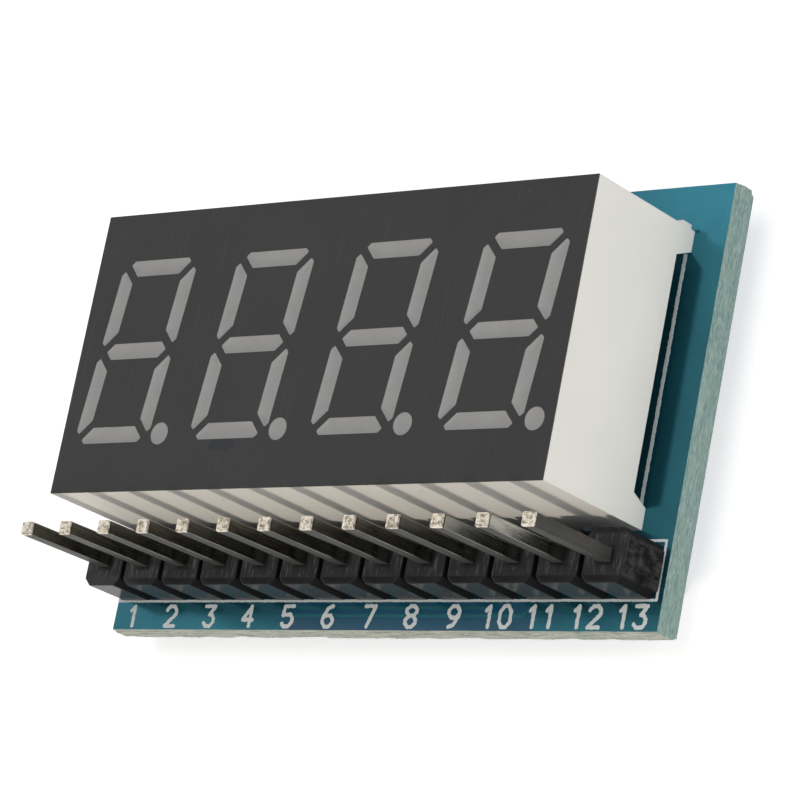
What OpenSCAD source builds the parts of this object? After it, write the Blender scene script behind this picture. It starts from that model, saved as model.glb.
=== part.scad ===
// Four-digit seven-segment display module: a 0.36 inch LED display and a 13-way pin header,
// soldered to the front of a small driver board.
// The module lies on its soldered tails with the digits facing up. +Z leaves the face, +X runs
// along the digits and +Y points to their tops. The origin is below the board's centre.
// All sizes are in millimetres.

/* [Circuit board] */
// Width of the board, between its scored edges
board_w = 33.4; // [33.1:0.1:45]
// Height of the board, between its scored edges
board_h = 21; // [20.6:0.1:35]
// Thickness of the board
board_t = 1.6; // [1:0.1:2.4]
// Inset of the front face from the scored edge
score_front_inset = 0.09; // [0.05:0.01:0.3]
// Depth of the score cut into the front
score_front_depth = 0.42; // [0.1:0.01:0.45]
// Inset of the rear face from the scored edge
score_rear_inset = 0.22; // [0.05:0.01:0.5]
// Depth of the score cut into the rear
score_rear_depth = 0.5; // [0.1:0.01:0.5]
// Length of every soldered tail behind the board
tail_length = 1.4; // [1.3:0.1:3]

/* [Pin header] */
// Width of a square header pin
pin_side = 0.64; // [0.5:0.01:0.66]
// Length of a header pin in front of its insulator
pin_reach = 5.6; // [3:0.1:12]
// Bevel on the ends of a header pin
pin_bevel = 0.1; // [0.02:0.01:0.2]
// Height of the insulator above the board
header_h = 2.54; // [1.5:0.01:3]
// Depth of the insulator across the row
header_depth = 2.5; // [1.8:0.01:2.7]
// Bevel on the four upright corners of each insulator block
header_bevel = 0.46; // [0.2:0.01:0.7]
// Distance from the board's lower edge to the row of pins
header_edge = 2.8; // [2.3:0.01:3]
// Offset of the row's middle from the board's middle
header_shift = -0.14; // [-0.15:0.01:0.15]

/* [Display package] */
// Length of the display along the digits
package_l = 30; // [29:0.1:33]
// Width of the display across the digits
package_w = 14; // [13.6:0.1:14.4]
// Height of the display from the board to its face
package_h = 7.2; // [6:0.1:10]
// Width of the flat foot under each long wall
foot_w = 1; // [0.6:0.05:1.05]
// Inward slope from the foot to the rear rim
foot_slope = 0.45; // [0.2:0.05:0.5]
// Height of the rear rim above the board
foot_h = 1; // [0.6:0.05:1.2]
// Distance from the row of header pins to the display's centre line
display_rise = 8.9; // [8.7:0.01:9.1]
// Offset of the display's middle from the row's middle
display_shift = -0.07; // [-0.1:0.01:0.1]
// Thickness of the dark film printed on the face
mask_t = 0.05; // [0.04:0.01:0.15]

/* [Digits] */
// Distance between neighbouring digits
digit_pitch = 7.5; // [7:0.05:7.6]
// Height of a digit over its segments
digit_h = 9.16; // [8:0.02:9.3]
// Width of a digit over its segments, before the slant
digit_w = 4.9; // [4.4:0.02:5]
// Offset of the digits' middle from the display's middle
digit_shift = -0.03; // [-0.1:0.01:0.1]
// Width of a level segment
segment_w = 0.8; // [0.6:0.01:0.9]
// Width of an upright segment
upright_w = 0.88; // [0.6:0.01:0.95]
// Gap between two segments that meet at a digit's corner
corner_gap = 0.4; // [0.2:0.01:0.5]
// Gap between the middle segment and an upright one
middle_gap = 0.42; // [0.2:0.01:0.5]
// Bevel on the outer tip of a segment
segment_tip = 0.2; // [0.1:0.01:0.3]
// Radius on the corners of a segment
segment_corner_r = 0.07; // [0.02:0.01:0.08]
// Lean of the digits to the right
slant_angle = 5.7; // [0:0.1:8]
// Diameter of a decimal point
point_d = 1.09; // [0.8:0.01:1.1]
// Distance of a decimal point from its digit's middle
point_x = 2.7; // [2.68:0.01:2.8]
// Distance of a decimal point below its digit's middle
point_y = 4.2; // [4:0.01:4.3]

/* [Hidden] */
digit_count = 4;
segment_names = ["a", "b", "c", "d", "e", "f", "g", "dp"];
point_index = len(segment_names) - 1;
header_ways = 1 + digit_count + len(segment_names);
pitch = 2.54;
$fn = 32;

// How far a cut runs past a face, and how deep a small lug starts inside its wall
overcut = 1;
lug_root = 0.3;

// Levels above the surface that the tails stand on
board_rear_z = tail_length;
board_front_z = board_rear_z + board_t;
header_top_z = board_front_z + header_h;
rim_z = board_front_z + foot_h;
face_z = board_front_z + package_h;
shell_top_z = face_z - mask_t;

// Centres of the header and the display on the board
row_x = header_shift;
row_y = header_edge - board_h / 2;
display_x = row_x + display_shift;
display_y = row_y + display_rise;

// Pin header
header_hole_r = 0.5;
header_end_trim = 0.1;
header_slot_w = 0.28;
header_slot_depth = 0.45;
snap_stub = [0.22, 1.3, 1.9];
snap_stub_z = 0.35;

// Inside of the display: its recess holds a small board under a film of epoxy
end_wall = 0.8;
recess_l = package_l - 2 * end_wall;
recess_w = package_w - 2 * (foot_w + foot_slope);
epoxy_inset = 0.15;
epoxy_t = 0.45;
inner_board_t = 1.2;
inner_board_gap = 0.05;
inner_board_z = rim_z + epoxy_inset + epoxy_t;
well_floor_z = inner_board_z + inner_board_t;
die_side = 0.3;
die_h = 0.15;
gate_tab = [0.9, 0.2, 0.65];
gate_tab_z = 0.3;

// Leads of the display: two rows of six
lead_r = 0.25;
lead_columns = 6;
lead_inset = 1.92;
lead_row_gap = package_w - 2 * lead_inset;
lead_hole_r = 0.4;

// Solder joints: spread on the board, climb up the tail and width of the neck
header_joint = [0.92, 0.85, 0.48];
lead_joint = [0.78, 0.8, 0.3];
joint_rim_h = 0.03;

// Rear of the board: chip resistors and small transistors, in rows beside the display's middle
resistor = [0.8, 1.6, 0.45];
resistor_end_l = 0.3;
resistor_row = -1.95;
resistor_count = header_ways - 1;
transistor_body = [2.9, 1.3, 0.95];
transistor_lift = 0.1;
transistor_draft = 0.1;
transistor_row = 1.6;
transistor_lead = [0.4, 0.13];
transistor_lead_reach = 0.55;
transistor_lead_foot = 0.3;
transistor_lead_gap = 1.9;

// Outlines of the segments, before the slant
half_w = digit_w / 2;
half_h = digit_h / 2;
inner_x = half_w - upright_w;
inner_y = half_h - segment_w;
mitre_x = half_w - segment_w;
corner_step = corner_gap / sqrt(2);
middle_step = middle_gap / sqrt(2);
meeting_x = half_w - segment_tip;
corner_points = 3;

// The top bar: a trapezium with bevelled outer tips
top_bar = [
    [-mitre_x + corner_step, inner_y],
    [mitre_x - corner_step, inner_y],
    [half_w - segment_tip - corner_step, half_h - segment_tip],
    [half_w - 2 * segment_tip - corner_step, half_h],
    [-half_w + 2 * segment_tip + corner_step, half_h],
    [-half_w + segment_tip + corner_step, half_h - segment_tip]
];

// The middle bar: a long hexagon
middle_x = meeting_x - middle_step;
middle_bar = [
    [-middle_x, 0],
    [-middle_x + segment_w / 2, -segment_w / 2],
    [middle_x - segment_w / 2, -segment_w / 2],
    [middle_x, 0],
    [middle_x - segment_w / 2, segment_w / 2],
    [-middle_x + segment_w / 2, segment_w / 2]
];

// The upper right bar: mitred to the top bar and to the middle bar
corner_line = half_h - half_w - corner_step;
middle_line = meeting_x + middle_step;
upright_bar = [
    [inner_x, middle_line - inner_x],
    [meeting_x, middle_line - meeting_x],
    [half_w, middle_line - meeting_x + segment_tip],
    [half_w, corner_line + meeting_x - segment_tip],
    [meeting_x, corner_line + meeting_x],
    [inner_x, corner_line + inner_x]
];

// A mirrored copy that keeps its first corner and still runs anticlockwise
function flip(points, sx, sy) =
    let (turned = [for (p = points) [p.x * sx, p.y * sy]], n = len(points))
    sx * sy > 0 ? turned : [for (i = [0:n - 1]) turned[(n - i) % n]];

// One corner rounded: an arc that touches both sides
function corner_arc(before, at, after) =
    let (
        to_before = (before - at) / norm(before - at),
        to_after = (after - at) / norm(after - at),
        half_angle = acos(to_before * to_after) / 2,
        bisector = (to_before + to_after) / norm(to_before + to_after),
        middle = at + bisector * segment_corner_r / sin(half_angle),
        first = middle + segment_corner_r * [-to_before.y, to_before.x],
        start = atan2(first.y - middle.y, first.x - middle.x),
        sweep = 180 - 2 * half_angle
    )
    [for (k = [0:corner_points - 1])
        middle + segment_corner_r * [
            cos(start + sweep * k / (corner_points - 1)),
            sin(start + sweep * k / (corner_points - 1))
        ]];

function rounded(points) =
    let (n = len(points))
    [for (i = [0:n - 1])
        each corner_arc(points[(i + n - 1) % n], points[i], points[(i + 1) % n])];

function lean(points) = [for (p = points) [p.x + p.y * tan(slant_angle), p.y]];

function segment_bar(s) =
    s == 0 ? top_bar :
    s == 1 ? upright_bar :
    s == 2 ? flip(upright_bar, 1, -1) :
    s == 3 ? flip(top_bar, 1, -1) :
    s == 4 ? flip(upright_bar, -1, -1) :
    s == 5 ? flip(upright_bar, -1, 1) :
    middle_bar;

function segment_outline(s) = lean(rounded(segment_bar(s)));

function middle_of(points) = [for (k = [0, 1]) let (v = [for (p = points) p[k]]) (min(v) + max(v)) / 2];

function segment_middle(s) = s == point_index ? [0, 0] : middle_of(segment_outline(s));

// Where a segment's outline stands on the board
function digit_x(d) = display_x + digit_shift + (d - (digit_count + 1) / 2) * digit_pitch;

function segment_place(d, s) =
    [digit_x(d), display_y] + (s == point_index ? [point_x, -point_y] : [0, 0]);

function header_x(i) = row_x + (i - (header_ways + 1) / 2) * pitch;

function lens_name(d, s) = str("digit_", d, "_segment_", segment_names[s]);

function header_pin_name(i) = str("header_pin_", i);

module at_header_pins() {
    for (i = [1:header_ways])
        translate([header_x(i), row_y, 0]) children();
}

module at_display_leads() {
    for (column = [0:lead_columns - 1], side = [-1, 1])
        translate([
            display_x + (column - (lead_columns - 1) / 2) * pitch,
            display_y + side * lead_row_gap / 2,
            0
        ]) children();
}

module at_resistors() {
    for (i = [1:resistor_count])
        translate([header_x(i + 1), display_y + resistor_row, board_rear_z]) children();
}

module at_transistors() {
    for (d = [1:digit_count])
        translate([digit_x(d), display_y + transistor_row, board_rear_z]) children();
}

// Board edge in section: snapped along a score on each side
module board_section(width) {
    polygon([
        [-width / 2 + score_rear_inset, 0],
        [width / 2 - score_rear_inset, 0],
        [width / 2, score_rear_depth],
        [width / 2, board_t - score_front_depth],
        [width / 2 - score_front_inset, board_t],
        [-width / 2 + score_front_inset, board_t],
        [-width / 2, board_t - score_front_depth],
        [-width / 2, score_rear_depth]
    ]);
}

module module_board() {
    color("steelblue")
    difference() {
        translate([0, 0, board_rear_z])
        intersection() {
            rotate([90, 0, 0])
                linear_extrude(board_h, center = true) board_section(board_w);
            rotate([90, 0, 90])
                linear_extrude(board_w, center = true) board_section(board_h);
        }
        at_header_pins() cylinder(h = board_front_z + overcut, r = header_hole_r);
        at_display_leads() cylinder(h = board_front_z + overcut, r = lead_hole_r);
    }
}

// One insulator block seen from above: a square with bevelled corners
module header_block(width) {
    half = width / 2;
    depth = header_depth / 2;
    polygon([
        [-half + header_bevel, -depth],
        [half - header_bevel, -depth],
        [half, -depth + header_bevel],
        [half, depth - header_bevel],
        [half - header_bevel, depth],
        [-half + header_bevel, depth],
        [-half, depth - header_bevel],
        [-half, -depth + header_bevel]
    ]);
}

module header_body() {
    strip_end = header_x(header_ways) + pitch / 2 - header_end_trim;
    strip_l = header_ways * pitch - 2 * header_end_trim;
    color("dimgray")
    difference() {
        union() {
            intersection() {
                translate([0, 0, board_front_z])
                    linear_extrude(header_h)
                        for (i = [1:header_ways])
                            translate([header_x(i), row_y]) header_block(pitch);
                translate([row_x - strip_l / 2, row_y - header_depth, board_front_z])
                    cube([strip_l, 2 * header_depth, header_h]);
            }
            // Stub of the web that was snapped off the next block
            translate([strip_end - lug_root, row_y - snap_stub.y / 2, board_front_z + snap_stub_z])
                cube([lug_root + snap_stub.x, snap_stub.y, snap_stub.z - snap_stub_z]);
        }
        // Shallow groove across the top between two blocks
        for (i = [1:header_ways - 1])
            translate([
                header_x(i) + pitch / 2 - header_slot_w / 2,
                row_y - header_depth,
                header_top_z - header_slot_depth
            ]) cube([header_slot_w, 2 * header_depth, header_slot_depth + overcut]);
        header_pin_cores();
    }
}

// A square pin in side view, bevelled at both ends
module pin_profile(length) {
    half = pin_side / 2;
    polygon([
        [-half + pin_bevel, 0],
        [half - pin_bevel, 0],
        [half, pin_bevel],
        [half, length - pin_bevel],
        [half - pin_bevel, length],
        [-half + pin_bevel, length],
        [-half, length - pin_bevel],
        [-half, pin_bevel]
    ]);
}

// Square prisms along the pins, to cut what the pins pass through
module header_pin_cores() {
    at_header_pins()
        translate([-pin_side / 2, -pin_side / 2, -overcut])
            cube([pin_side, pin_side, header_top_z + 2 * overcut]);
}

// Round prisms along the display's leads
module display_lead_cores() {
    at_display_leads()
        translate([0, 0, -overcut]) cylinder(h = face_z + overcut, r = lead_r);
}

module header_pin(i) {
    length = header_top_z + pin_reach;
    color("darkkhaki")
    translate([header_x(i), row_y, 0])
    intersection() {
        rotate([90, 0, 0])
            linear_extrude(pin_side, center = true) pin_profile(length);
        rotate([90, 0, 90])
            linear_extrude(pin_side, center = true) pin_profile(length);
    }
}

// Rear part of the display's shell in end view: two long feet and a rim between them
module shell_profile() {
    half = package_w / 2;
    rim = half - foot_w - foot_slope;
    polygon([
        [-half, board_front_z],
        [-half + foot_w, board_front_z],
        [-rim, rim_z],
        [rim, rim_z],
        [half - foot_w, board_front_z],
        [half, board_front_z],
        [half, well_floor_z],
        [-half, well_floor_z]
    ]);
}

// Outline of one window in the face: a leaning bar or a round point
module window(d, s) {
    translate(segment_place(d, s))
        if (s == point_index) circle(d = point_d);
        else polygon(segment_outline(s));
}

// The display seen from its face: a rectangle with a window for every segment and point
module windowed_face() {
    difference() {
        translate([display_x, display_y]) square([package_l, package_w], center = true);
        for (d = [1:digit_count], s = [0:point_index]) window(d, s);
    }
}

module display_housing() {
    color("whitesmoke")
    union() {
        // Shell from the rim to the face, pierced by the light wells, over the recess
        difference() {
            translate([0, 0, rim_z])
                linear_extrude(shell_top_z - rim_z) windowed_face();
            translate([display_x - recess_l / 2, display_y - recess_w / 2, rim_z - overcut])
                cube([recess_l, recess_w, well_floor_z - rim_z + overcut]);
        }
        // Feet and walls round the recess: they close the wells that reach over a wall
        difference() {
            translate([display_x, display_y, 0])
                rotate([90, 0, 90])
                    linear_extrude(package_l, center = true) shell_profile();
            translate([display_x - recess_l / 2, display_y - recess_w / 2, rim_z - overcut])
                cube([recess_l, recess_w, well_floor_z - rim_z + 2 * overcut]);
        }
        // Remains of the moulding gate on the upper long side
        translate([
            display_x + package_l / 2 - gate_tab.x,
            display_y + package_w / 2 - lug_root,
            board_front_z + gate_tab_z
        ]) cube([gate_tab.x, lug_root + gate_tab.y, gate_tab.z]);
    }
}

module face_mask() {
    color("dimgray")
    translate([0, 0, shell_top_z])
        linear_extrude(mask_t) windowed_face();
}

module led_die(d, s) {
    place = segment_place(d, s) + segment_middle(s);
    translate([place.x - die_side / 2, place.y - die_side / 2, well_floor_z])
        cube([die_side, die_side, die_h]);
}

// Milky epoxy that fills one well, cast around its light-emitting chip
module segment_lens(d, s) {
    color("darkgray")
    difference() {
        translate([0, 0, well_floor_z])
            linear_extrude(shell_top_z - well_floor_z) window(d, s);
        led_die(d, s);
    }
}

module led_dies() {
    color("gold")
    for (d = [1:digit_count], s = [0:point_index])
        led_die(d, s);
}

module display_leads() {
    color("silver")
    at_display_leads() cylinder(h = well_floor_z, r = lead_r);
}

module display_board() {
    color("darkgreen")
    difference() {
        translate([
            display_x - recess_l / 2 + inner_board_gap,
            display_y - recess_w / 2 + inner_board_gap,
            inner_board_z
        ]) cube([recess_l - 2 * inner_board_gap, recess_w - 2 * inner_board_gap, inner_board_t]);
        display_lead_cores();
    }
}

module rear_epoxy() {
    color("gray")
    difference() {
        translate([display_x - recess_l / 2, display_y - recess_w / 2, rim_z + epoxy_inset])
            cube([recess_l, recess_w, epoxy_t]);
        display_lead_cores();
    }
}

// Solder in section: it fills the hole and climbs the tail behind the board in a hollow curve
module solder_section(hole_r, joint) {
    spread = joint[0];
    climb = joint[1];
    neck = joint[2];
    hollow = [for (a = [90:-22.5:0]) [
        spread - (spread - neck) * sin(a),
        board_rear_z - joint_rim_h - (climb - joint_rim_h) * (1 - cos(a))
    ]];
    polygon(concat(
        [[0, board_rear_z - climb]],
        hollow,
        [[spread, board_rear_z], [hole_r, board_rear_z], [hole_r, board_front_z], [0, board_front_z]]
    ));
}

module header_solder() {
    color("silver")
    difference() {
        at_header_pins()
            rotate_extrude() solder_section(header_hole_r, header_joint);
        header_pin_cores();
    }
}

module display_solder() {
    color("silver")
    difference() {
        at_display_leads()
            rotate_extrude() solder_section(lead_hole_r, lead_joint);
        display_lead_cores();
    }
}

module resistor_bodies() {
    color("black")
    at_resistors()
        translate([-resistor.x / 2, -resistor.y / 2 + resistor_end_l, -resistor.z])
            cube([resistor.x, resistor.y - 2 * resistor_end_l, resistor.z]);
}

module resistor_ends() {
    color("silver")
    at_resistors()
        for (side = [0, 1]) mirror([0, side, 0])
            translate([-resistor.x / 2, resistor.y / 2 - resistor_end_l, -resistor.z])
                cube([resistor.x, resistor_end_l, resistor.z]);
}

// Transistor body in end view, wider at its parting line
module transistor_section() {
    half = transistor_body.y / 2;
    parting = -transistor_lift - transistor_body.z / 2;
    polygon([
        [-half + transistor_draft, -transistor_lift],
        [-half, parting],
        [-half + transistor_draft, -transistor_lift - transistor_body.z],
        [half - transistor_draft, -transistor_lift - transistor_body.z],
        [half, parting],
        [half - transistor_draft, -transistor_lift]
    ]);
}

module transistor_bodies() {
    color("black")
    at_transistors()
        rotate([90, 0, 90])
            linear_extrude(transistor_body.x, center = true) transistor_section();
}

// Bent lead in side view: out of the body, down to the board and along it
module transistor_lead_profile() {
    thick = transistor_lead.y;
    start = transistor_body.y / 2 - transistor_draft;
    bend = transistor_body.y / 2 + transistor_lead_reach - transistor_lead_foot;
    toe = transistor_body.y / 2 + transistor_lead_reach;
    level = -transistor_lift - transistor_body.z / 2;
    polygon([
        [start, level - thick / 2],
        [bend, level - thick / 2],
        [bend, -thick],
        [toe, -thick],
        [toe, 0],
        [bend - thick, 0],
        [bend - thick, level + thick / 2],
        [start, level + thick / 2]
    ]);
}

module transistor_lead(x, side) {
    translate([x, 0, 0])
        mirror([0, side < 0 ? 1 : 0, 0])
            rotate([90, 0, 90])
                linear_extrude(transistor_lead.x, center = true) transistor_lead_profile();
}

module transistor_leads() {
    color("silver")
    difference() {
        at_transistors() {
            transistor_lead(0, 1);
            transistor_lead(-transistor_lead_gap / 2, -1);
            transistor_lead(transistor_lead_gap / 2, -1);
        }
        at_transistors()
            rotate([90, 0, 90])
                linear_extrude(transistor_body.x, center = true) transistor_section();
    }
}

module_board();
header_body();
header_solder();
display_housing();
face_mask();
display_board();
rear_epoxy();
led_dies();
display_leads();
display_solder();
resistor_bodies();
resistor_ends();
transistor_bodies();
transistor_leads();
for (i = [1:header_ways])
    header_pin(i);
for (d = [1:digit_count], s = [0:point_index])
    segment_lens(d, s);
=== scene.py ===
import math
import random

import bpy
from mathutils import Matrix, Vector, noise


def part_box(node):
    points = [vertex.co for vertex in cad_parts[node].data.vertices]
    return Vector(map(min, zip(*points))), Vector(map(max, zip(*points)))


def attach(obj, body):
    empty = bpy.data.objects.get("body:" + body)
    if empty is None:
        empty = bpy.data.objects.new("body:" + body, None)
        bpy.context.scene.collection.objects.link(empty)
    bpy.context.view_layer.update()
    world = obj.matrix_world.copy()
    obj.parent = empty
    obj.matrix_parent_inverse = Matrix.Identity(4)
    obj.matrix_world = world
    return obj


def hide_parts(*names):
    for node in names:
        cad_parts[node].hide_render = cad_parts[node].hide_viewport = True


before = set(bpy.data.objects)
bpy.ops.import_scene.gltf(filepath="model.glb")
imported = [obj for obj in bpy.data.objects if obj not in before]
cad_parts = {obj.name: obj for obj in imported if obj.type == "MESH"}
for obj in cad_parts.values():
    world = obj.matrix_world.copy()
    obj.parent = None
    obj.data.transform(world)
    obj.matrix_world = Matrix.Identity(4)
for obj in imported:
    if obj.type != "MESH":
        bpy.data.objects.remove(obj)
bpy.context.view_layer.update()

# Lengths in this script are in millimetres unless a name says otherwise.
MM = 0.001
BODY = "root"
DIGITS = range(1, 5)
SEGMENTS = ["a", "b", "c", "d", "e", "f", "g", "dp"]
WAYS = 13


# ---------------------------------------------------------------- places, from the CAD frame

def box(node):
    low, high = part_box(node)
    return low / MM, high / MM


def middle(node):
    low, high = box(node)
    return (low + high) / 2


def header_pin(i):
    return f"header_pin_{i}"


def lens(digit, segment):
    return f"digit_{digit}_segment_{segment}"


BOARD_LOW, BOARD_HIGH = box("module_board")
FILM_TOP = box("face_mask")[1].z
HEADER_LOW, HEADER_HIGH = box("header_body")
PIN_X = [middle(header_pin(i)).x for i in range(1, WAYS + 1)]
PIN_Y = middle(header_pin(1)).y
PIN_TOP = box(header_pin(1))[1].z
PITCH = PIN_X[1] - PIN_X[0]
# How far the pins lean forward over their free length
PIN_LEAN = -0.08
FACE = middle("face_mask")
# Tracks pass under the numbers between these places; the rest of the front is poured copper
LABEL_TRACKS_X = (PIN_X[4] - 0.2, PIN_X[10] - 0.4)
# A dark blot at the foot of the second digit: its middle and half its size
BLOT = (FACE.x - 4.42, FACE.y - 4.86, 0.86, 0.3)


# ---------------------------------------------------------------- shader building

def linear(value):
    value /= 255
    return value / 12.92 if value <= 0.04045 else ((value + 0.055) / 1.055) ** 2.4


def colour(red, green, blue):
    """A colour written as it should look on the screen, from 0 to 255."""
    return (linear(red), linear(green), linear(blue), 1)


class Shader:
    """A material with one Principled surface, and short calls that add nodes to it."""

    def __init__(self, name, **constants):
        self.material = bpy.data.materials.new(name)
        self.material.use_nodes = True
        self.nodes = self.material.node_tree.nodes
        self.links = self.material.node_tree.links
        self.surface = self.nodes["Principled BSDF"]
        for socket, value in constants.items():
            self.surface.inputs[socket.replace("_", " ")].default_value = value
        scaled = self.add("ShaderNodeVectorMath", operation="SCALE")
        scaled.inputs["Scale"].default_value = 1 / MM
        self.links.new(self.add("ShaderNodeTexCoord").outputs["Object"], scaled.inputs[0])
        self.place = scaled.outputs[0]
        split = self.add("ShaderNodeSeparateXYZ")
        self.links.new(self.place, split.inputs[0])
        self.x, self.y, self.z = split.outputs

    def add(self, kind, **settings):
        node = self.nodes.new(kind)
        for key, value in settings.items():
            setattr(node, key, value)
        return node

    def feed(self, socket, value):
        if isinstance(value, bpy.types.NodeSocket):
            self.links.new(value, socket)
        elif value is not None:
            socket.default_value = value

    def math(self, operation, a, b=None):
        node = self.add("ShaderNodeMath", operation=operation)
        self.feed(node.inputs[0], a)
        self.feed(node.inputs[1], b)
        return node.outputs[0]

    def times(self, a, b):
        return self.math("MULTIPLY", a, b)

    def plus(self, a, b):
        return self.math("ADD", a, b)

    def minus(self, a, b):
        return self.math("SUBTRACT", a, b)

    def inverted(self, mask):
        return self.math("SUBTRACT", 1, mask)

    def step(self, value, start, end):
        """0 below start and 1 above end, with a smooth step between them."""
        node = self.add("ShaderNodeMapRange", interpolation_type="SMOOTHSTEP")
        self.feed(node.inputs["Value"], value)
        self.feed(node.inputs["From Min"], start)
        self.feed(node.inputs["From Max"], end)
        return node.outputs[0]

    def rescale(self, value, start, end, low, high):
        node = self.add("ShaderNodeMapRange")
        for socket, number in zip(node.inputs[:5], (value, start, end, low, high)):
            self.feed(socket, number)
        return node.outputs[0]

    def spread(self, noise_value, low, high):
        """A noise value, which mostly lies between 0.3 and 0.7, spread from low to high."""
        return self.rescale(noise_value, 0.3, 0.7, low, high)

    def stretched(self, sx, sy, sz):
        """The place with its parts scaled, for noise that is drawn out along the smaller ones."""
        node = self.add("ShaderNodeVectorMath", operation="MULTIPLY")
        self.feed(node.inputs[0], self.place)
        node.inputs[1].default_value = (sx, sy, sz)
        return node.outputs[0]

    def noise(self, scale, detail=2.0, roughness=0.5, vector=None):
        node = self.add("ShaderNodeTexNoise")
        self.feed(node.inputs["Vector"], vector or self.place)
        node.inputs["Scale"].default_value = scale
        node.inputs["Detail"].default_value = detail
        node.inputs["Roughness"].default_value = roughness
        return node.outputs[0]

    def specks(self, spacing, size, rarity=0.55):
        """Sparse small dots: 1 inside a dot and 0 elsewhere.

        A dot is kept if the red of its cell is over the rarity. This red is also the dot's offset
        along X in its cell, so a flat face at one X shows all of its dots or none of them.
        """
        node = self.add("ShaderNodeTexVoronoi")
        self.feed(node.inputs["Vector"], self.place)
        node.inputs["Scale"].default_value = 1 / spacing
        dot = self.step(node.outputs["Distance"], size / spacing, 0.6 * size / spacing)
        split = self.add("ShaderNodeSeparateColor")
        self.links.new(node.outputs["Color"], split.inputs[0])
        red = split.outputs[0]
        return self.times(dot, self.step(red, rarity, rarity + 0.05))

    def blend(self, factor, first, second):
        node = self.add("ShaderNodeMix", data_type="RGBA")
        self.feed(node.inputs[0], factor)
        self.feed(node.inputs[6], first)
        self.feed(node.inputs[7], second)
        return node.outputs[2]

    def overlay(self, base, mask, strength, tone):
        """Lays a tone over the base where the mask is 1, as strongly as this."""
        return self.blend(self.times(mask, strength), base, tone)

    def scaled_colour(self, base, factor):
        node = self.add("ShaderNodeVectorMath", operation="SCALE")
        self.feed(node.inputs[0], base if isinstance(base, bpy.types.NodeSocket) else base[:3])
        self.feed(node.inputs["Scale"], factor)
        return node.outputs[0]

    def bump(self, height, distance, strength=1.0, over=None):
        """A relief whose height, from 0 to 1, stands for this distance, over another normal."""
        node = self.add("ShaderNodeBump")
        self.feed(node.inputs["Height"], height)
        node.inputs["Distance"].default_value = distance * MM
        node.inputs["Strength"].default_value = strength
        self.feed(node.inputs["Normal"], over)
        return node.outputs[0]

    def soft_edges(self, radius):
        node = self.add("ShaderNodeBevel", samples=6)
        node.inputs["Radius"].default_value = radius * MM
        return node.outputs[0]

    def between(self, value, start, end, soft=0.1):
        """1 from start to end and 0 outside, with soft borders."""
        inside = self.inverted(self.step(value, end - soft, end + soft))
        return self.times(self.step(value, start - soft, start + soft), inside)

    def blot(self, x, y, half_x, half_y):
        """1 in a ragged oval round a point of a level face, 0 outside."""
        reach_x = self.math("DIVIDE", self.minus(self.x, x), half_x)
        reach_y = self.math("DIVIDE", self.minus(self.y, y), half_y)
        reach = self.plus(self.math("POWER", reach_x, 2), self.math("POWER", reach_y, 2))
        wander = self.spread(self.noise(2.6, 3), -0.35, 0.35)
        return self.step(self.plus(reach, wander), 1.15, 0.75)

    def facing(self):
        """The three parts of the direction that a face looks in."""
        geometry = self.add("ShaderNodeNewGeometry")
        split = self.add("ShaderNodeSeparateXYZ")
        self.links.new(geometry.outputs["True Normal"], split.inputs[0])
        return split.outputs

    def upright(self):
        """1 on faces that look up or down, 0 on side faces."""
        return self.step(self.math("ABSOLUTE", self.facing()[2]), 0.8, 0.9)

    def finish(self, base, roughness, normal=None):
        self.feed(self.surface.inputs["Base Color"], base)
        self.feed(self.surface.inputs["Roughness"], roughness)
        self.feed(self.surface.inputs["Normal"], normal)
        return self.material


# ---------------------------------------------------------------- materials

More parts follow.
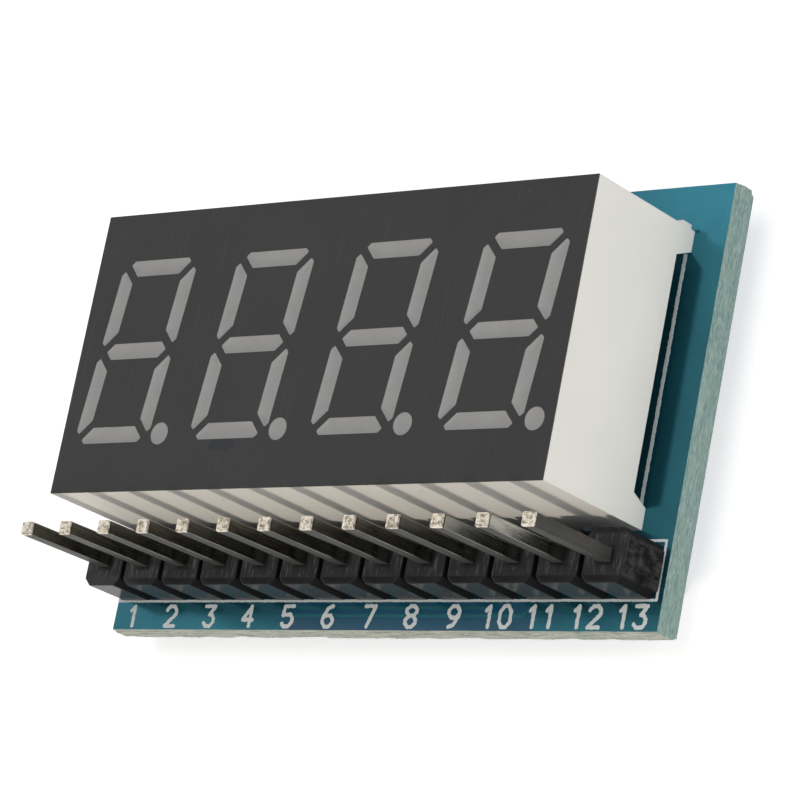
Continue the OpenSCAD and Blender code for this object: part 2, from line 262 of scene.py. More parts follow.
def board_material():
    """Teal solder mask over copper on both faces, and bare glass fibre on the snapped edges."""
    s = Shader("solder_mask_board")
    cloudy = s.spread(s.noise(0.35, 3), 0.92, 1.08)
    weave_x = s.noise(1.0, 1, vector=s.stretched(6.5, 0.4, 1))
    weave_y = s.noise(1.0, 1, vector=s.stretched(0.4, 6.5, 1))
    weave = s.rescale(s.plus(weave_x, weave_y), 0.6, 1.4, 0.95, 1.05)
    below_header = s.step(s.y, HEADER_LOW.y, HEADER_LOW.y - 0.2)
    track_gap = s.times(s.between(s.x, *LABEL_TRACKS_X), below_header)
    front = s.step(s.z, BOARD_HIGH.z - 0.3, BOARD_HIGH.z - 0.2)
    poured = s.times(front, s.inverted(track_gap))
    poured = s.plus(poured, s.rescale(front, 0, 1, 0.45, 0))
    mask = s.blend(poured, colour(8, 77, 105), colour(43, 108, 124))
    # Painted light: the board is painted paler towards its far corner, standing in for brighter light
    # there
    painted_light_corner = s.rescale(s.plus(s.x, s.y), 19, 26, 1, 1.45)
    mask = s.scaled_colour(mask, s.times(s.times(cloudy, weave), painted_light_corner))
    dust = s.specks(1.7, 0.03)
    mask = s.overlay(mask, dust, 0.6, colour(150, 190, 195))

    fibres = s.noise(1.0, 4, 0.65, s.stretched(0.8, 0.8, 12))
    threads = s.noise(1.0, 2, 0.7, s.stretched(2.6, 2.6, 32))
    glass = s.blend(s.step(fibres, 0.35, 0.62), colour(136, 150, 142), colour(196, 200, 190))
    glass = s.blend(s.step(threads, 0.52, 0.72), glass, colour(218, 218, 208))
    core = s.step(s.noise(2.2, 3, vector=s.stretched(1, 1, 0.4)), 0.56, 0.72)
    glass = s.overlay(glass, core, 0.4, colour(110, 130, 124))
    cut_end = s.step(s.math("ABSOLUTE", s.facing()[0]), 0.5, 0.8)
    tinted = s.blend(s.step(threads, 0.36, 0.64), colour(70, 120, 119), colour(138, 178, 172))
    glass = s.overlay(glass, cut_end, 0.62, tinted)

    face = s.upright()
    base = s.blend(face, glass, mask)
    s.feed(s.surface.inputs["Metallic"], s.times(s.times(face, poured), 0.75))
    gloss = s.rescale(face, 0, 1, 0.75, 0.19)
    rough_height = s.times(s.plus(fibres, threads), s.inverted(face))
    ripples = s.times(s.plus(weave_x, weave_y), face)
    normal = s.bump(ripples, 0.003, 0.5)
    normal = s.bump(rough_height, 0.06, 0.9, normal)
    return s.finish(base, gloss, normal)


def track_material():
    """Solder mask over a copper track: a little lighter than over bare board."""
    s = Shader("masked_copper", Metallic=0.7)
    cloudy = s.spread(s.noise(0.6, 3), 0.9, 1.1)
    grain = s.noise(9, 2)
    return s.finish(s.scaled_colour(colour(48, 118, 130), cloudy), 0.2, s.bump(grain, 0.003, 0.5))


def print_material():
    """White board printing, thin and a little uneven."""
    s = Shader("white_print")
    patchy = s.noise(5, 3, 0.6)
    worn = s.step(s.noise(14, 2), 0.62, 0.75)
    base = s.blend(patchy, colour(206, 214, 214), colour(226, 230, 228))
    base = s.overlay(base, worn, 0.35, colour(120, 165, 175))
    return s.finish(base, 0.6, s.bump(patchy, 0.01, 0.5))


def shell_material():
    """White moulded plastic with a fine skin and a few dark specks."""
    s = Shader("white_shell", Specular_IOR_Level=0.35)
    shade = s.spread(s.noise(0.22, 2), 0.97, 1.02)
    base = s.scaled_colour(colour(226, 225, 219), shade)
    base = s.overlay(base, s.specks(0.6, 0.08, 0.88), 0.6, colour(128, 118, 106))
    base = s.overlay(base, s.specks(2.9, 0.09), 0.4, colour(150, 120, 100))
    skin = s.noise(16, 3, 0.6)
    flow = s.noise(1.0, 2, vector=s.stretched(0.3, 0.3, 3))
    normal = s.bump(flow, 0.01, 0.4, s.soft_edges(0.06))
    return s.finish(base, s.spread(skin, 0.42, 0.56), s.bump(skin, 0.006, 0.5, normal))


def mask_material():
    """Dark film printed on the face: brown on its cut edge, with faint wipe marks and one blot."""
    s = Shader("mask_film", Specular_IOR_Level=0.3)
    shade = s.spread(s.noise(0.2, 3), 0.93, 1.07)
    grain = s.noise(22, 3, 0.6)
    wipes = s.step(s.noise(1.0, 2, 0.6, s.stretched(5, 0.25, 1)), 0.6, 0.74)
    base = s.scaled_colour(colour(48, 50, 49), shade)
    base = s.overlay(base, wipes, 0.08, colour(96, 97, 96))
    base = s.overlay(base, s.specks(2.3, 0.04), 0.5, colour(140, 138, 132))
    blot = s.blot(*BLOT)
    base = s.overlay(base, blot, 0.8, colour(24, 28, 36))
    edge = s.inverted(s.upright())
    base = s.overlay(base, edge, 0.85, colour(92, 76, 64))
    rough = s.spread(grain, 0.5, 0.66)
    rough = s.minus(rough, s.times(blot, 0.25))
    return s.finish(base, rough, s.bump(grain, 0.006, 0.6))


def lens_material():
    """Milky grey epoxy, a little clouded."""
    s = Shader("lens_epoxy", Specular_IOR_Level=0.4)
    cloudy = s.spread(s.noise(0.9, 3, 0.6), 0.95, 1.05)
    fine = s.noise(18, 2)
    base = s.scaled_colour(colour(149, 149, 148), cloudy)
    base = s.overlay(base, s.specks(2.1, 0.05), 0.5, colour(205, 205, 200))
    base = s.overlay(base, s.blot(*BLOT), 0.7, colour(40, 46, 54))
    return s.finish(base, s.spread(fine, 0.38, 0.5), s.bump(fine, 0.004, 0.4))


def header_material():
    """Black moulded plastic: matt sides, scuffed tops, and torn where the strip was snapped off;
    painted shade in the notches between the blocks and round the pin bases.
    """
    s = Shader("header_plastic")
    top = s.times(s.upright(), s.step(s.z, HEADER_HIGH.z - 0.1, HEADER_HIGH.z - 0.05))
    from_joint = s.math("PINGPONG", s.minus(s.x, PIN_X[0] - PITCH / 2), PITCH / 2)
    from_pin = s.math("MAXIMUM", s.minus(PITCH / 2, from_joint),
                      s.math("ABSOLUTE", s.minus(s.y, PIN_Y)))
    # Painted shade: the notches between the blocks are painted nearly black, with less shine and more
    # roughness
    painted_notch_shade = s.times(s.step(from_joint, 0.62, 0.4), s.inverted(top))
    # Painted shade: a dark square ring on the tops round the base of each pin
    painted_pin_base_shade = s.times(top, s.step(from_pin, 0.56, 0.4))
    middle_band = s.between(s.y, PIN_Y - 0.85, PIN_Y + 0.95, 0.12)
    worn = s.times(top, middle_band)
    scuffs = s.noise(1.0, 3, 0.65, s.stretched(9, 1.3, 1))
    streaks = s.times(s.step(scuffs, 0.48, 0.72), worn)
    mottled = s.noise(3.2, 3, 0.6)
    flanks = s.blend(mottled, colour(42, 43, 43), colour(60, 61, 61))
    base = s.blend(top, flanks, s.blend(mottled, colour(18, 19, 21), colour(30, 31, 33)))
    base = s.overlay(base, worn, 0.35, colour(44, 45, 47))
    base = s.overlay(base, streaks, 0.55, colour(104, 105, 106))
    # Painted shade round the pin bases and in the notches
    base = s.overlay(base, painted_pin_base_shade, 0.8, colour(10, 10, 12))
    base = s.overlay(base, painted_notch_shade, 0.8, colour(12, 12, 14))
    torn = s.step(s.x, HEADER_HIGH.x - 0.35, HEADER_HIGH.x - 0.2)
    tear = s.noise(2.2, 4, 0.65, s.stretched(1, 1, 0.6))
    base = s.blend(s.times(torn, s.step(tear, 0.36, 0.66)), base, colour(66, 66, 66))
    shine = s.minus(s.rescale(top, 0, 1, 0.07, 0.28), s.times(painted_notch_shade, 0.03))
    s.feed(s.surface.inputs["Specular IOR Level"], shine)
    rough = s.spread(scuffs, 0.34, 0.5)
    rough = s.plus(s.times(rough, s.math("MAXIMUM", worn, torn)), 0.22)
    rough = s.plus(rough, s.times(painted_notch_shade, 0.35))
    normal = s.bump(s.times(scuffs, worn), 0.03, 0.6, s.soft_edges(0.07))
    normal = s.bump(s.times(tear, torn), 0.25, 1.0, normal)
    return s.finish(base, rough, normal)


def pin_material():
    """Drawn pin metal: sides with lengthwise lines and a dim tarnish, brighter crumpled ends, and
    painted dark reflections on some sides.
    """
    s = Shader("pin_metal", Specular_IOR_Level=0.06)
    lines = s.noise(1.0, 3, 0.65, s.stretched(26, 26, 0.35))
    stains = s.noise(1.0, 3, 0.6, s.stretched(2.2, 2.2, 0.8))
    base = s.blend(s.step(lines, 0.35, 0.65), colour(140, 138, 130), colour(162, 160, 151))
    base = s.overlay(base, s.step(stains, 0.45, 0.7), 0.5, colour(96, 93, 84))
    # Painted reflection and shade: the sides that face -Y, and the outer side of the last pin, are
    # painted dark
    outward = s.facing()
    painted_reflection_minus_y = s.step(s.times(outward[1], -1), 0.5, 0.8)
    last_pin = s.step(s.x, PIN_X[-1], PIN_X[-1] + 0.1)
    painted_reflection_last_side = s.times(s.step(outward[0], 0.5, 0.8), last_pin)
    base = s.overlay(base, painted_reflection_minus_y, 0.85, colour(26, 34, 34))
    base = s.overlay(base, painted_reflection_last_side, 0.85, colour(30, 30, 28))
    tip = s.step(s.z, PIN_TOP - 0.3, PIN_TOP - 0.22)
    # Below the tips, these painted sides are made nearly non-metallic and rougher, so that their
    # painted colour shows
    painted_reflection_faces = s.times(s.math("MAXIMUM", painted_reflection_minus_y, painted_reflection_last_side), s.inverted(tip))
    s.feed(s.surface.inputs["Metallic"], s.rescale(painted_reflection_faces, 0, 1, 1, 0.12))
    grit = s.noise(5.5, 3, 0.65)
    pits = s.step(grit, 0.52, 0.4)
    torn = s.overlay(colour(236, 228, 213), pits, 0.6, colour(104, 94, 80))
    base = s.blend(tip, base, torn)
    rough = s.spread(lines, 0.16, 0.28)
    rough = s.plus(rough, s.times(s.math("MAXIMUM", tip, painted_reflection_faces), 0.2))
    normal = s.bump(lines, 0.004, 0.5)
    normal = s.bump(s.times(grit, tip), 0.12, 1.0, normal)
    return s.finish(base, rough, normal)


def tin_material(name, base_low, base_high, roughness):
    """Tin or solder: bright, softly mottled metal."""
    s = Shader(name, Metallic=1.0)
    mottled = s.noise(3.5, 3, 0.6)
    grain = s.noise(15, 2)
    base = s.blend(mottled, base_low, base_high)
    rough = s.spread(grain, roughness - 0.06, roughness + 0.08)
    return s.finish(base, rough, s.bump(mottled, 0.03, 0.5, s.soft_edges(0.05)))


def chip_material(name, base, roughness):
    """Black glaze or moulding compound on a small part."""
    s = Shader(name, Specular_IOR_Level=0.5)
    grain = s.noise(12, 3, 0.6)
    cloudy = s.spread(s.noise(1.5, 2), 0.85, 1.15)
    rough = s.spread(grain, roughness - 0.06, roughness + 0.08)
    normal = s.bump(grain, 0.015, 0.5, s.soft_edges(0.05))
    return s.finish(s.scaled_colour(base, cloudy), rough, normal)


def inner_board_material():
    """Bare woven glass fibre."""
    s = Shader("inner_board")
    weave = s.noise(1.0, 2, vector=s.stretched(5, 5, 1))
    base = s.blend(weave, colour(118, 128, 92), colour(142, 150, 112))
    return s.finish(base, 0.5, s.bump(weave, 0.01))


def epoxy_material():
    """Cast epoxy at the back of the display: milky, wavy and glossy."""
    s = Shader("potting", Coat_Weight=0.3, Coat_Roughness=0.1)
    wave = s.noise(0.7, 3)
    base = s.blend(wave, colour(186, 184, 170), colour(206, 203, 190))
    return s.finish(base, 0.25, s.bump(wave, 0.05, 0.5))


# ---------------------------------------------------------------- mesh building

def mesh_object(name, points, faces, material, smooth=False):
    mesh = bpy.data.meshes.new(name)
    mesh.from_pydata([Vector(p) * MM for p in points], [], faces)
    mesh.validate()
    mesh.update()
    for polygon in mesh.polygons:
        polygon.use_smooth = smooth
    mesh.materials.append(material)
    piece = bpy.data.objects.new(name, mesh)
    bpy.context.scene.collection.objects.link(piece)
    return piece


def carry(piece, slot_name, *replaced):
    """Makes a piece of the object: it rides on the body and may stand for CAD nodes."""
    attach(piece, BODY)
    if replaced:
        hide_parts(*replaced)
    return piece


def band(first, second, count):
    """Quads between two rings of count points that start at these indices."""
    return [(first + i, first + (i + 1) % count, second + (i + 1) % count, second + i)
            for i in range(count)]


def stacked_faces(count, rows):
    """The faces of a closed stack of rings, each of count points."""
    faces = [tuple(reversed(range(count)))]
    for k in range(rows - 1):
        faces += band(k * count, (k + 1) * count, count)
    faces.append(tuple(range((rows - 1) * count, rows * count)))
    return faces


def outline_levels(node):
    """A plate's section: one (level, half width, half depth) for each distinct height."""
    reach = {}
    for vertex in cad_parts[node].data.vertices:
        x, y, z = vertex.co / MM
        key = round(z, 3)
        old = reach.get(key, (0, 0))
        reach[key] = (max(old[0], abs(x)), max(old[1], abs(y)))
    return [(z, *reach[z]) for z in sorted(reach)]


def around(half_x, half_y, steps_x, steps_y):
    """Points round a rectangle, anticlockwise from its lower left corner."""
    points = []
    corners = [(-half_x, -half_y), (half_x, -half_y), (half_x, half_y), (-half_x, half_y)]
    for k, steps in enumerate((steps_x, steps_y, steps_x, steps_y)):
        (x0, y0), (x1, y1) = corners[k], corners[(k + 1) % 4]
        points += [(x0 + (x1 - x0) * i / steps, y0 + (y1 - y0) * i / steps) for i in range(steps)]
    return points


# The board's snapped edge: the spacing of its points along and across, how deep whole chips and
# single fibres are torn out, and how far from a face the tear has its full depth
EDGE_STEP, EDGE_LAYER = 0.12, 0.09
CHIP_DEPTH, FIBRE_DEPTH = 0.1, 0.055
TEAR_REACH = 0.35


def board_piece(material):
    """The board, with torn fibres along the edges where it was snapped from its panel."""
    levels = outline_levels("module_board")
    steps_x = round(2 * levels[1][1] / EDGE_STEP)
    steps_y = round(2 * levels[1][2] / EDGE_STEP)
    rows = []
    for (z0, x0, y0), (z1, x1, y1) in zip(levels, levels[1:]):
        count = max(2, round((z1 - z0) / EDGE_LAYER))
        rows += [(z0 + (z1 - z0) * k / count,
                  x0 + (x1 - x0) * k / count,
                  y0 + (y1 - y0) * k / count) for k in range(count)]
    rows.append(levels[-1])
    points = []
    for z, half_x, half_y in rows:
        near_face = min(z - levels[0][0], levels[-1][0] - z)
        tear = min(1.0, 0.12 + near_face / TEAR_REACH)
        for x, y in around(half_x, half_y, steps_x, steps_y):
            chips = max(0.0, noise.noise((x * 0.9, y * 0.9, z * 1.4)))
            fibres = 0.5 + 0.5 * noise.noise((x * 5, y * 5, z * 16))
            depth = tear * (CHIP_DEPTH * chips + FIBRE_DEPTH * fibres)
            points.append((x * (1 - depth / half_x), y * (1 - depth / half_y), z))
    faces = stacked_faces(2 * (steps_x + steps_y), len(rows))
    return mesh_object("circuit_board", points, faces, material)


def rounded_square(half, radius, arc):
    """A square with this many points on each round corner, anticlockwise."""
    points = []
    for k, (sx, sy) in enumerate(((1, 1), (-1, 1), (-1, -1), (1, -1))):
        for j in range(arc):
            angle = math.radians(90 * k + 90 * j / (arc - 1))
            points.append((sx * (half - radius) + radius * math.cos(angle),
                           sy * (half - radius) + radius * math.sin(angle)))
    return points


# A pin's tip: its random seed, how far it is crumpled sideways, how deep it is dented, and how much
# lower its downhill edge is
TIP_SEED = 40
TIP_CRUMPLE, TIP_DENT, TIP_SLOPE = 0.05, 0.22, 0.05


def pin_piece(i, material):
    """A square pin that leans a little, tapered at its tail, with a sheared and crumpled tip."""
    low, high = box(header_pin(i))
    centre = (low + high) / 2
    half = (high.x - low.x) / 2
    bevel = 0.1
    rng = random.Random(TIP_SEED + i)
    square = rounded_square(half, radius=0.05, arc=5)
    shoulder = high.z - bevel - 0.06
    # Rings of the pin: their level, and their size as a share of the full square
    shaft = [(low.z, 0.7), (low.z + bevel, 1), (HEADER_HIGH.z, 1), (shoulder, 1),
             (shoulder + 0.07, 0.97)]
    tip = [(high.z - 0.05, 0.8), (high.z, 0.6), (high.z - 0.05, 0.45), (high.z - 0.01, 0.28),
           (high.z, 0.12)]
    slope = Vector((rng.uniform(-1, 1), rng.uniform(-1, 1)))
    points = []
    for level, (z, scale) in enumerate(shaft + tip):
        above = max(0.0, z - HEADER_HIGH.z) / (high.z - HEADER_HIGH.z)
        for x, y in square:
            px, py = x * scale, y * scale
            drop = 0.0
            if level >= len(shaft):
                seed = Vector((px * 5 + 9.1 * i, py * 5, level * 0.4))
                px += TIP_CRUMPLE * noise.noise(seed * 1.3)
                py += TIP_CRUMPLE * noise.noise(seed * 1.3 + Vector((5, 5, 5)))
                downhill = max(0.0, (slope.x * px + slope.y * py) / half)
                drop = TIP_DENT * abs(noise.noise(seed)) + TIP_SLOPE * downhill
            px, py = max(-half, min(half, px)), max(-half, min(half, py))
            points.append((centre.x + px, centre.y + py + PIN_LEAN * above, z - drop))
    faces = stacked_faces(len(square), len(shaft + tip))
    piece = mesh_object(f"pin_{i}", points, faces, material)
    return carry(piece, "pin_metal", header_pin(i))


def top_outline(node):
    """The corners of a prism's upper end, in order round its middle."""
    low, high = box(node)
    centre = (low + high) / 2
    corners = {}
    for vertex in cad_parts[node].data.vertices:
        x, y, z = vertex.co / MM
        if z > high.z - 0.001:
            corners[(round(x, 4), round(y, 4))] = math.atan2(y - centre.y, x - centre.x)
    return [Vector((x, y)) for x, y in sorted(corners, key=corners.get)], centre


def spine(outline, centre):
    """The middle line of a long outline, as its two ends."""
    offsets = [corner - centre for corner in outline]
    xx, yy, xy = (sum(o[a] * o[b] for o in offsets) for a, b in ((0, 0), (1, 1), (0, 1)))
    angle = 0.5 * math.atan2(2 * xy, xx - yy)
    along = Vector((math.cos(angle), math.sin(angle)))
    across = Vector((-along.y, along.x))
    half_width = max(abs(o.dot(across)) for o in offsets)
    reach = max(0.0, max(abs(o.dot(along)) for o in offsets) - half_width)
    return centre - along * reach, centre + along * reach


def nearest_on(start, end, point):
    """The place on a straight line that lies nearest to a point."""
    line = end - start
    if line.length < 1e-6:
        return start
    return start + line * max(0.0, min(1.0, (point - start).dot(line) / line.length_squared))


def lens_piece(node, material):
    """Cast epoxy in a light well: it climbs the edge of its window and sinks in the middle."""
    outline, centre = top_outline(node)
    start, end = spine(outline, Vector((centre.x, centre.y)))
    feet = [nearest_on(start, end, corner) for corner in outline]
    bottom, rim, trough = box(node)[0].z, FILM_TOP - 0.006, 0.075
    rows = [(bottom, 1.0), (rim, 1.0)]
    rows += [(rim - trough * (1 - share * share), share)
             for share in (0.94, 0.86, 0.75, 0.6, 0.42, 0.22, 0.06)]
    points = []
    for z, scale in rows:
        for corner, foot in zip(outline, feet):
            at = foot + (corner - foot) * scale
            points.append((at.x, at.y, z))
    faces = stacked_faces(len(outline), len(rows))
    piece = mesh_object(f"window_{node}", points, faces, material, smooth=True)
    # Only the cast surface is smooth: the bottom and the sides come first
    for polygon in piece.data.polygons[:len(outline) + 1]:
        polygon.use_smooth = False
    return carry(piece, "lens_epoxy", node)


# Ink and tracks: their thickness, the spacing of points along a stretch, and round its ends
PRINT_THICK = 0.018
INK_STEP = 0.09
ROUND_END_ANGLES = (0.6, 1.57, 2.54)
# Each stretch takes one of these heights in turn, so that those that cross share no plane
INK_HEIGHTS, INK_HEIGHT_STEP = 23, 0.02


def stretch_outline(start, end, width, rng, ragged):
    """One straight stretch of ink, as its outline anticlockwise: ragged sides and round ends."""
    along = (end - start).normalized()
    side = Vector((-along.y, along.x)) * (width / 2)
    steps = max(1, round((end - start).length / INK_STEP))
    outline = []
    for first, last, out in ((start, end, -side), (end, start, side)):
        tip = (last - first).normalized() * (width / 2)
        for k in range(steps + 1):
            reach = 1 + rng.uniform(-ragged, ragged)
            outline.append(first + (last - first) * (k / steps) + out * reach)
        outline += [last + out * math.cos(a) + tip * math.sin(a) for a in ROUND_END_ANGLES]
    return outline


def printed_strokes(name, strokes, width, ragged, material, thick=PRINT_THICK, z=BOARD_HIGH.z):
    """Thin raised strokes on a face of the board; thick is negative on the rear face."""
    rng = random.Random(len(name))
    points, faces = [], []
    stretches = [(Vector(a), Vector(b)) for path in strokes for a, b in zip(path, path[1:])]
    for number, (start, end) in enumerate(stretches):
        outline = stretch_outline(start, end, width, rng, ragged)
        if thick < 0:
            outline.reverse()
        count, first = len(outline), len(points)
        top = z + thick * (1 - INK_HEIGHT_STEP * (number % INK_HEIGHTS))
        points += [(p.x, p.y, z) for p in outline] + [(p.x, p.y, top) for p in outline]
        faces.append(tuple(range(first + count, first + 2 * count)))
        faces.append(tuple(reversed(range(first, first + count))))
        faces += band(first, first + count, count)
    carry(mesh_object(name, points, faces, material), "solder_mask_board")


# ---------------------------------------------------------------- printing on the board

# Pen strokes of plain numbers, on a cell one wide and one high
FIGURES = {
    "0": [[(0.3, 0), (0, 0.25), (0, 0.75), (0.3, 1), (0.7, 1), (1, 0.75), (1, 0.25), (0.7, 0),
           (0.3, 0)]],
    "1": [[(0.2, 0.78), (0.55, 1), (0.55, 0)]],
    "2": [[(0, 0.8), (0.28, 1), (0.75, 1), (1, 0.8), (1, 0.6), (0, 0), (1, 0)]],
    "3": [[(0, 1), (1, 1), (0.5, 0.58), (0.75, 0.58), (1, 0.38), (1, 0.2), (0.72, 0), (0.25, 0),
           (0, 0.16)]],
    "4": [[(0.72, 0), (0.72, 1), (0, 0.32), (1, 0.32)]],
    "5": [[(1, 1), (0.08, 1), (0, 0.55), (0.7, 0.6), (1, 0.4), (1, 0.2), (0.7, 0), (0.25, 0),
           (0, 0.14)]],
    "6": [[(0.85, 1), (0.4, 0.9), (0, 0.45), (0, 0.2), (0.28, 0), (0.72, 0), (1, 0.2), (1, 0.35),
           (0.72, 0.55), (0.3, 0.55), (0, 0.4)]],
    "7": [[(0, 1), (1, 1), (0.38, 0)]],
    "8": [[(0.3, 0.54), (0, 0.72), (0, 0.84), (0.3, 1), (0.7, 1), (1, 0.84), (1, 0.72), (0.7, 0.54),
           (0.3, 0.54), (0, 0.34), (0, 0.18), (0.3, 0), (0.7, 0), (1, 0.18), (1, 0.34),
           (0.7, 0.54)]],
    "9": [[(0.15, 0), (0.6, 0.1), (1, 0.55), (1, 0.8), (0.72, 1), (0.28, 1), (0, 0.8), (0, 0.65),
           (0.28, 0.45), (0.7, 0.45), (1, 0.6)]],
}
FIGURE_H = 0.98
FIGURE_W = 0.62
FIGURE_GAP = 0.33
FIGURE_Y = PIN_Y - 2.04
BROAD_LINE, FINE_LINE = 0.19, 0.12
PRINT_RAGGED, TRACK_RAGGED = 0.2, 0.02


def number_strokes(text, centre_x, centre_y):
    """Strokes of a number centred on a point of the board."""
    total = len(text) * FIGURE_W + (len(text) - 1) * FIGURE_GAP
    strokes = []
    for k, figure in enumerate(text):
        left = centre_x - total / 2 + k * (FIGURE_W + FIGURE_GAP)
        for path in FIGURES[figure]:
            strokes.append([(left + u * FIGURE_W, centre_y + (v - 0.5) * FIGURE_H)
                            for u, v in path])
    return strokes


def rectangle(left, bottom, right, top):
    """The four sides of a rectangle as separate strokes."""
    return [[(left, bottom), (right, bottom)], [(right, bottom), (right, top)],
            [(right, top), (left, top)], [(left, top), (left, bottom)]]


def front_print(material):
    """The white print: a number at each pin, a frame round the header, lines at the display's ends."""
    numbers = []
    for i, x in enumerate(PIN_X, 1):
        numbers += number_strokes(str(i), x, FIGURE_Y)
    printed_strokes("print_numbers", numbers, BROAD_LINE, PRINT_RAGGED, material)
    row_middle = (PIN_X[0] + PIN_X[-1]) / 2
    left, right = row_middle - 16.4, row_middle + 16.42
    header_box = rectangle(left, HEADER_LOW.y - 0.04, right, PIN_Y + 1.42)
    printed_strokes("print_header_box", header_box, FINE_LINE, PRINT_RAGGED, material)
    reach_x, reach_y = 14.7, 5.88
    ends = [[(x, FACE.y - reach_y), (x, FACE.y + reach_y)]
            for x in (FACE.x - reach_x, FACE.x + reach_x)]
    printed_strokes("print_display_box", ends, BROAD_LINE, PRINT_RAGGED, material)


def front_tracks(material):
    """Two tracks under the numbers, each turning off to a pin of the header at its right end."""
    first, last = LABEL_TRACKS_X
    strokes = []
    for y, corner_x in ((PIN_Y - 2.0, last - 0.7), (PIN_Y - 1.62, last - PITCH * 0.8 - 0.7)):
        end_x = corner_x + (HEADER_LOW.y - y)
        strokes.append([(first, y), (corner_x, y), (end_x, HEADER_LOW.y)])
    printed_strokes("tracks_front", strokes, 0.16, 0.03, material, thick=PRINT_THICK / 2)


# How far the two lower leads of a switching transistor stand from its middle
SWITCH_LEAD_SHIFT = 0.95


def switch_x(digit):
    """The transistor of a digit stands behind its middle."""
    return (box(lens(digit, "a"))[0].x + box(lens(digit, "d"))[1].x) / 2


def rear_tracks(material):
    """Tracks from the header to the small parts behind the board, and on to the display's leads."""
    part_low, part_high = box("resistor_ends")[0].y, box("resistor_ends")[1].y
    switch_y = middle("transistor_bodies").y
    lead_low, lead_high = box("display_leads")
    lead_y = lead_high.y - 0.25
    lead_x = [FACE.x + (column - 2.5) * PITCH for column in range(6)]
    tracks = [[(x, PIN_Y + 0.7), (x, part_low)] for x in PIN_X[1:]]
    # To a lower lead of each transistor, from the resistor in this column
    for digit, column, side in ((1, 1, -1), (2, 5, 1), (3, 7, -1), (4, 10, -1)):
        x = switch_x(digit) + side * SWITCH_LEAD_SHIFT
        tracks.append([(PIN_X[column], part_high), (PIN_X[column], switch_y - 2.1),
                       (x, switch_y - 1.7), (x, switch_y - 1.1)])
    # To the leads of the upper row
    for column, lead in ((3, 0), (6, 3), (9, 5)):
        shift = abs(lead_x[lead] - PIN_X[column])
        tracks.append([(PIN_X[column], part_high), (PIN_X[column], lead_y - shift),
                       (lead_x[lead], lead_y)])
    # To its other leads, each round what stands in the way
    x, lead = PIN_X[2], lead_x[1]
    tracks.append([(x, part_high), (x + 1, part_high + 1), (x + 1, lead_y + 0.9),
                   (x + 1.7, lead_y + 1.6), (lead - 0.9, lead_y + 1.6), (lead, lead_y + 0.7),
                   (lead, lead_y)])
    x, lead = PIN_X[4], lead_x[2]
    tracks.append([(x, part_high), (x - 1, part_high + 1), (x - 1, switch_y + 0.9),
                   (x - 0.3, switch_y + 1.6), (lead - 0.9, switch_y + 1.6), (lead, switch_y + 2.5),
                   (lead, lead_y)])
    x, lead = PIN_X[8], lead_x[4]
    tracks.append([(x, part_high), (x + 1, part_high + 1), (x + 1, switch_y + 1.1),
                   (x + 0.5, switch_y + 1.6), (lead + 0.8, switch_y + 1.6), (lead, switch_y + 2.4),
                   (lead, lead_y)])
    # Short ends at a hole to the other side
    holes = [(PIN_X[11], part_high + 3), (PIN_X[12], part_high + 2.2)]
    tracks += [[(x, part_high), (x, y)] for x, y in holes]
    low_holes = [(x, lead_low.y + 1.6) for x in lead_x]
    tracks += [[(x, lead_low.y + 0.25), (x, y)] for x, y in low_holes]
    printed_strokes("tracks_rear", tracks, 0.3, TRACK_RAGGED, material,
                    thick=-PRINT_THICK, z=BOARD_LOW.z)
    rings = [[(x - 0.02, y), (x + 0.02, y)] for x, y in holes + low_holes]
    printed_strokes("holes_rear", rings, 0.62, TRACK_RAGGED, material,
                    thick=-1.5 * PRINT_THICK, z=BOARD_LOW.z)


# A solder fillet at a resistor or a transistor: half its width, and its section's scale
RESISTOR_FILLET = (0.44, 1)
SWITCH_FILLET = (0.3, 0.5)


def rear_fillets(material):
    """Solder that climbs the ends of the small parts behind the board in a hollow curve."""
    # How far out of the part, and how far up it
    section = [(0, 0), (0.34, 0), (0.2, 0.06), (0.1, 0.14), (0.04, 0.25), (0, 0.36)]
    part_low, part_high = box("resistor_ends")[0].y, box("resistor_ends")[1].y
    switch_low, switch_high = box("transistor_leads")[0].y, box("transistor_leads")[1].y
    joints = [(x, y, side, *RESISTOR_FILLET)
              for x in PIN_X[1:] for y, side in ((part_low, -1), (part_high, 1))]
    for digit in DIGITS:
        x = switch_x(digit)
        joints.append((x, switch_high, 1, *SWITCH_FILLET))
        joints += [(x + shift, switch_low, -1, *SWITCH_FILLET)
                   for shift in (-SWITCH_LEAD_SHIFT, SWITCH_LEAD_SHIFT)]
    points, faces = [], []
    count = len(section)
    for x, y, side, half, scale in joints:
        first = len(points)
        for edge in (x - half, x + half):
            points += [(edge, y + side * scale * out, BOARD_LOW.z - scale * climb)
                       for out, climb in section]
        added = [tuple(range(first, first + count)),
                 tuple(reversed(range(first + count, first + 2 * count)))]
        added += band(first + count, first, count)
        faces += added if side > 0 else [tuple(reversed(face)) for face in added]
    carry(mesh_object("solder_fillets", points, faces, material), "solder")


# ---------------------------------------------------------------- stage, lights and camera

WORLD_LEVEL = 0.25
# The floor: half its size, how far it lies below the part, its grey, and its glow when seen directly
FLOOR_HALF = 600
FLOOR_DROP = 0.02
FLOOR_GREY = 0.8
FLOOR_GLOW = 0.55


def seen_directly(nodes, links):
    """1 for a ray from the camera or off a glossy surface, 0 for one that only carries light."""
    path = nodes.new("ShaderNodeLightPath")
    seen = nodes.new("ShaderNodeMath")
    seen.operation = "MAXIMUM"
    links.new(path.outputs["Is Camera Ray"], seen.inputs[0])
    links.new(path.outputs["Is Glossy Ray"], seen.inputs[1])
    return seen.outputs[0]


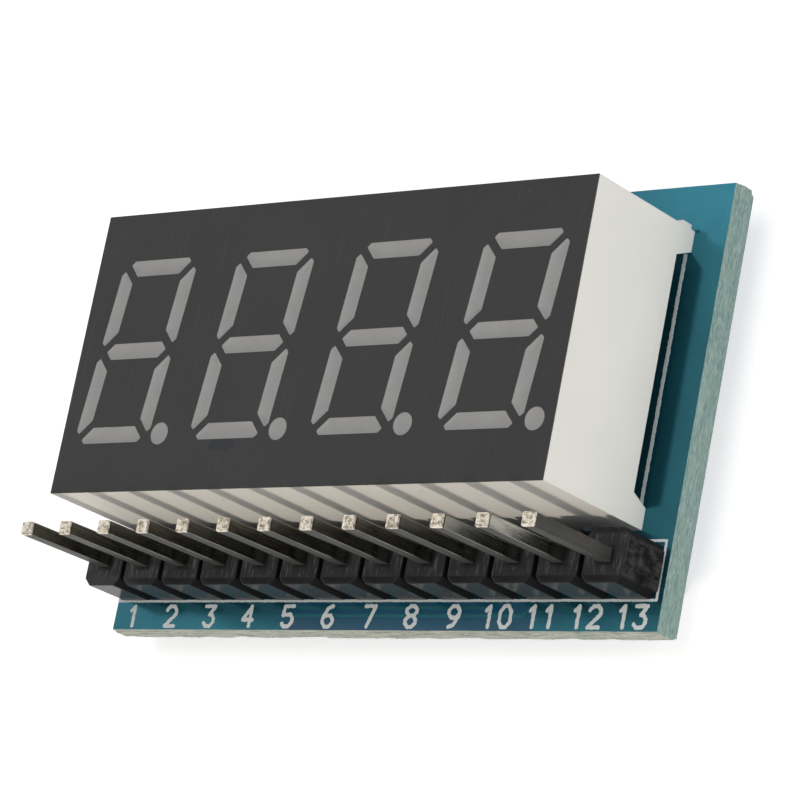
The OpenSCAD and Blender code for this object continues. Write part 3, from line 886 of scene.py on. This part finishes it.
def floor_material():
    """Pale floor: it looks white to the camera and in reflections, and keeps the shadow."""
    material = bpy.data.materials.new("floor")
    material.use_nodes = True
    nodes, links = material.node_tree.nodes, material.node_tree.links
    nodes.clear()
    out = nodes.new("ShaderNodeOutputMaterial")
    diffuse = nodes.new("ShaderNodeBsdfDiffuse")
    diffuse.inputs["Color"].default_value = (FLOOR_GREY, FLOOR_GREY, FLOOR_GREY, 1)
    glow = nodes.new("ShaderNodeEmission")
    glow.inputs["Color"].default_value = (1, 1, 1, 1)
    level = nodes.new("ShaderNodeMath")
    level.operation = "MULTIPLY"
    level.inputs[1].default_value = FLOOR_GLOW
    links.new(seen_directly(nodes, links), level.inputs[0])
    links.new(level.outputs[0], glow.inputs["Strength"])
    both = nodes.new("ShaderNodeAddShader")
    links.new(diffuse.outputs[0], both.inputs[0])
    links.new(glow.outputs[0], both.inputs[1])
    links.new(both.outputs[0], out.inputs["Surface"])
    return material


def build_floor():
    half = FLOOR_HALF
    points = [(-half, -half, 0), (half, -half, 0), (half, half, 0), (-half, half, 0)]
    floor = mesh_object("floor", points, [(0, 1, 2, 3)], floor_material())
    floor.location.z = -FLOOR_DROP * MM


def build_world():
    """An even pale room: white to the camera and in reflections, dimmer as a light."""
    world = bpy.data.worlds.new("studio")
    bpy.context.scene.world = world
    world.use_nodes = True
    nodes, links = world.node_tree.nodes, world.node_tree.links
    strength = nodes.new("ShaderNodeMapRange")
    strength.inputs["To Min"].default_value = WORLD_LEVEL
    links.new(seen_directly(nodes, links), strength.inputs["Value"])
    background = nodes["Background"]
    background.inputs["Color"].default_value = (1, 1, 1, 1)
    links.new(strength.outputs[0], background.inputs["Strength"])


WARM = (1.0, 0.9, 0.8)
LAMPS_LOOK_AT = (0, 0, 5)


def lamp(name, towards, distance, size, level, tint=(1, 1, 1)):
    """A square soft lamp, not seen in reflections.

    Its level is how bright it alone makes a white surface that faces it.
    """
    data = bpy.data.lights.new(name, "AREA")
    data.shape = "SQUARE"
    data.size = size * MM
    data.energy = level * (math.pi * distance * MM) ** 2
    data.color = tint
    lamp_object = bpy.data.objects.new(name, data)
    bpy.context.scene.collection.objects.link(lamp_object)
    direction = Vector(towards).normalized()
    lamp_object.location = (Vector(LAMPS_LOOK_AT) + direction * distance) * MM
    lamp_object.rotation_euler = direction.to_track_quat("Z", "Y").to_euler()
    lamp_object.visible_glossy = False


def build_lights():
    build_world()
    lamp("low_key", (-0.33, -1.0, 0.42), distance=320, size=30, level=0.4, tint=WARM)
    lamp("low_key_edge", (-0.47, -1.0, 0.42), distance=320, size=70, level=0.03, tint=WARM)
    lamp("side_fill", (1.0, -0.1, 0.35), distance=330, size=200, level=0.47)
    lamp("top_soft", (0.1, 0.3, 1.0), distance=350, size=260, level=0.34)


CAMERA_AT = (122.54, -48.85, 136.33)
CAMERA_TARGET = (-0.87, 0.8, 3.0)
CAMERA_ROLL = -62.97
CAMERA_LENS = 181.18


def build_camera():
    data = bpy.data.cameras.new("camera")
    data.lens = CAMERA_LENS
    data.sensor_width = 36
    data.clip_start = 0.01
    camera = bpy.data.objects.new("camera", data)
    bpy.context.scene.collection.objects.link(camera)
    at, target = Vector(CAMERA_AT), Vector(CAMERA_TARGET)
    back = (at - target).normalized()
    level = Vector((0, 0, 1)).cross(back).normalized()
    up = back.cross(level)
    roll = Matrix.Rotation(math.radians(CAMERA_ROLL), 3, "Z")
    turn = Matrix((level, up, back)).transposed() @ roll
    camera.matrix_world = Matrix.Translation(at * MM) @ turn.to_4x4()
    bpy.context.scene.camera = camera


# ---------------------------------------------------------------- the object

def dress(node, material):
    """Gives a CAD node that is shown as it is a better material."""
    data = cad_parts[node].data
    data.materials.clear()
    data.materials.append(material)


def build_object():
    board = board_material()
    carry(board_piece(board), "solder_mask_board", "module_board")
    front_print(print_material())
    masked_copper = track_material()
    front_tracks(masked_copper)
    rear_tracks(masked_copper)

    dress("display_housing", shell_material())
    dress("face_mask", mask_material())
    dress("header_body", header_material())
    dress("display_board", inner_board_material())
    dress("rear_epoxy", epoxy_material())

    window = lens_material()
    for digit in DIGITS:
        for segment in SEGMENTS:
            lens_piece(lens(digit, segment), window)

    metal = pin_material()
    for i in range(1, WAYS + 1):
        pin_piece(i, metal)

    solder = tin_material("solder", colour(176, 177, 176), colour(206, 206, 203), 0.24)
    tin = tin_material("tin", colour(168, 167, 162), colour(198, 197, 192), 0.32)
    dress("header_solder", solder)
    dress("display_solder", solder)
    rear_fillets(solder)
    dress("display_leads", tin)
    dress("resistor_ends", tin)
    dress("transistor_leads", tin)
    dress("led_dies", tin_material("die", colour(190, 150, 80), colour(220, 190, 120), 0.3))
    dress("resistor_bodies", chip_material("resistor_glaze", colour(24, 24, 26), 0.3))
    dress("transistor_bodies", chip_material("transistor_resin", colour(30, 30, 32), 0.5))


def plain_view():
    settings = bpy.context.scene.view_settings
    settings.view_transform = "Standard"


plain_view()
build_object()
build_floor()
build_lights()
build_camera()
